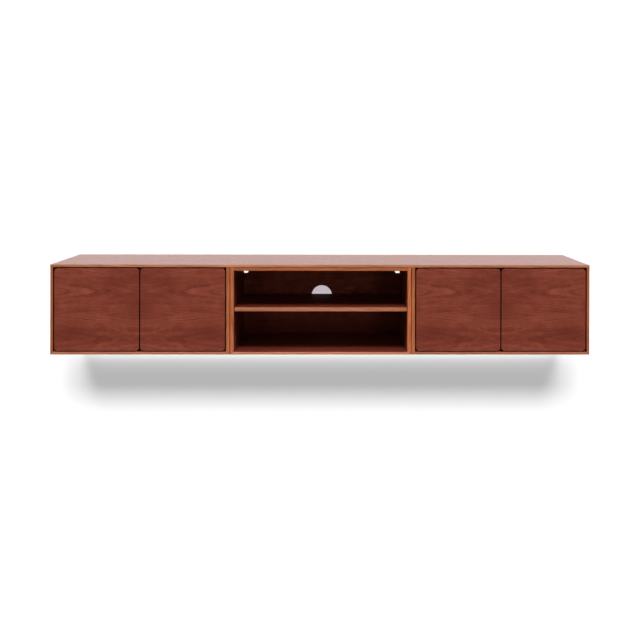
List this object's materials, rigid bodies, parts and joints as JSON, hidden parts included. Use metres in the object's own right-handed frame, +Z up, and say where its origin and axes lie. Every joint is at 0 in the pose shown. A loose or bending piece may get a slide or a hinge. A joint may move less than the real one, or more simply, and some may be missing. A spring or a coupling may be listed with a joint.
{
  "type": "floating media console",
  "caption": "Wall-hung media console: a long top over cabinets with inset swing doors at each end and an open bay with a shelf between them, hung on steel wall rails.",
  "frame": {"origin": "centre of the flat back of the middle wall rail, on the wall plane", "axes": "+X to the right along the length as seen from the front, +Y into the wall, +Z up; the doors face -Y"},
  "size_m": [2.4, 0.4, 0.4],
  "materials": {
    "top_wood": "reddish brown veneer, semi-gloss lacquer",
    "carcass_wood": "reddish brown veneer with lighter front edges, semi-gloss lacquer",
    "back_wood": "reddish brown veneered board, matt",
    "door_wood": "reddish brown veneer with horizontal grain, semi-gloss lacquer",
    "zinc_steel": "bright zinc plate",
    "black_steel": "turned and blackened",
    "white_plastic": "moulded, fine texture",
    "grey_plastic": "moulded, fine texture, dark grey"
  },
  "bodies": {
    "carcass": {"top_panel": "top_wood", "left_outer_side": "carcass_wood", "left_inner_side": "carcass_wood", "left_bottom": "carcass_wood", "left_back": "back_wood", "right_inner_side": "carcass_wood", "right_outer_side": "carcass_wood", "right_bottom": "carcass_wood", "right_back": "back_wood", "middle_left_side": "carcass_wood", "middle_right_side": "carcass_wood", "middle_top": "carcass_wood", "middle_bottom": "carcass_wood", "middle_back": "back_wood", "middle_shelf": "carcass_wood", "shelf_peg_front_left": "zinc_steel", "shelf_peg_front_right": "zinc_steel", "shelf_peg_rear_left": "zinc_steel", "shelf_peg_rear_right": "zinc_steel", "wall_rail_left": "zinc_steel", "wall_rail_middle": "zinc_steel", "wall_rail_right": "zinc_steel", "hook_left_outer": "zinc_steel", "hook_left_inner": "zinc_steel", "hook_middle_left": "zinc_steel", "hook_middle_right": "zinc_steel", "hook_right_inner": "zinc_steel", "hook_right_outer": "zinc_steel", "hanger_left_outer": "white_plastic", "hanger_left_inner": "white_plastic", "hanger_middle_left": "white_plastic", "hanger_middle_right": "white_plastic", "hanger_right_inner": "white_plastic", "hanger_right_outer": "white_plastic", "latch_housing_left": "grey_plastic", "latch_housing_right": "grey_plastic", "pivot_bush_lower_left_outer": "grey_plastic", "pivot_bush_upper_left_outer": "grey_plastic", "pivot_bush_lower_left_inner": "grey_plastic", "pivot_bush_upper_left_inner": "grey_plastic", "pivot_bush_lower_right_outer": "grey_plastic", "pivot_bush_upper_right_outer": "grey_plastic", "pivot_bush_lower_right_inner": "grey_plastic", "pivot_bush_upper_right_inner": "grey_plastic"},
    "left_outer_door": {"door_left_outer": "door_wood", "pivot_pin_lower_left_outer": "black_steel", "pivot_pin_upper_left_outer": "black_steel"},
    "left_inner_door": {"door_left_inner": "door_wood", "pivot_pin_lower_left_inner": "black_steel", "pivot_pin_upper_left_inner": "black_steel"},
    "right_outer_door": {"door_right_outer": "door_wood", "pivot_pin_lower_right_outer": "black_steel", "pivot_pin_upper_right_outer": "black_steel"},
    "right_inner_door": {"door_right_inner": "door_wood", "pivot_pin_lower_right_inner": "black_steel", "pivot_pin_upper_right_inner": "black_steel"},
    "left_outer_plunger": {"latch_plunger_left_outer": "grey_plastic"},
    "left_inner_plunger": {"latch_plunger_left_inner": "grey_plastic"},
    "right_outer_plunger": {"latch_plunger_right_outer": "grey_plastic"},
    "right_inner_plunger": {"latch_plunger_right_inner": "grey_plastic"}
  },
  "joints": [
    {"name": "left_outer_door_hinge", "type": "hinge", "parent": "carcass", "child": "left_outer_door", "pos_m": [-1.163, -0.39, 0], "axis": [0, 0, -1], "range_deg": [0, 105]},
    {"name": "left_inner_door_hinge", "type": "hinge", "parent": "carcass", "child": "left_inner_door", "pos_m": [-0.4455, -0.39, 0], "axis": [0, 0, 1], "range_deg": [0, 105]},
    {"name": "right_inner_door_hinge", "type": "hinge", "parent": "carcass", "child": "right_inner_door", "pos_m": [0.4455, -0.39, 0], "axis": [0, 0, -1], "range_deg": [0, 105]},
    {"name": "right_outer_door_hinge", "type": "hinge", "parent": "carcass", "child": "right_outer_door", "pos_m": [1.163, -0.39, 0], "axis": [0, 0, 1], "range_deg": [0, 105]},
    {"name": "left_outer_plunger_slide", "type": "slide", "parent": "carcass", "child": "left_outer_plunger", "axis": [0, -1, 0], "range_m": [0, 0.02]},
    {"name": "left_inner_plunger_slide", "type": "slide", "parent": "carcass", "child": "left_inner_plunger", "axis": [0, -1, 0], "range_m": [0, 0.02]},
    {"name": "right_inner_plunger_slide", "type": "slide", "parent": "carcass", "child": "right_inner_plunger", "axis": [0, -1, 0], "range_m": [0, 0.02]},
    {"name": "right_outer_plunger_slide", "type": "slide", "parent": "carcass", "child": "right_outer_plunger", "axis": [0, -1, 0], "range_m": [0, 0.02]}
  ],
  "couplings": [
    {"joint": "left_outer_plunger_slide", "follows": "left_outer_door_hinge", "m_per_rad": 0.0109},
    {"joint": "left_inner_plunger_slide", "follows": "left_inner_door_hinge", "m_per_rad": 0.0109},
    {"joint": "right_inner_plunger_slide", "follows": "right_inner_door_hinge", "m_per_rad": 0.0109},
    {"joint": "right_outer_plunger_slide", "follows": "right_outer_door_hinge", "m_per_rad": 0.0109}
  ]
}
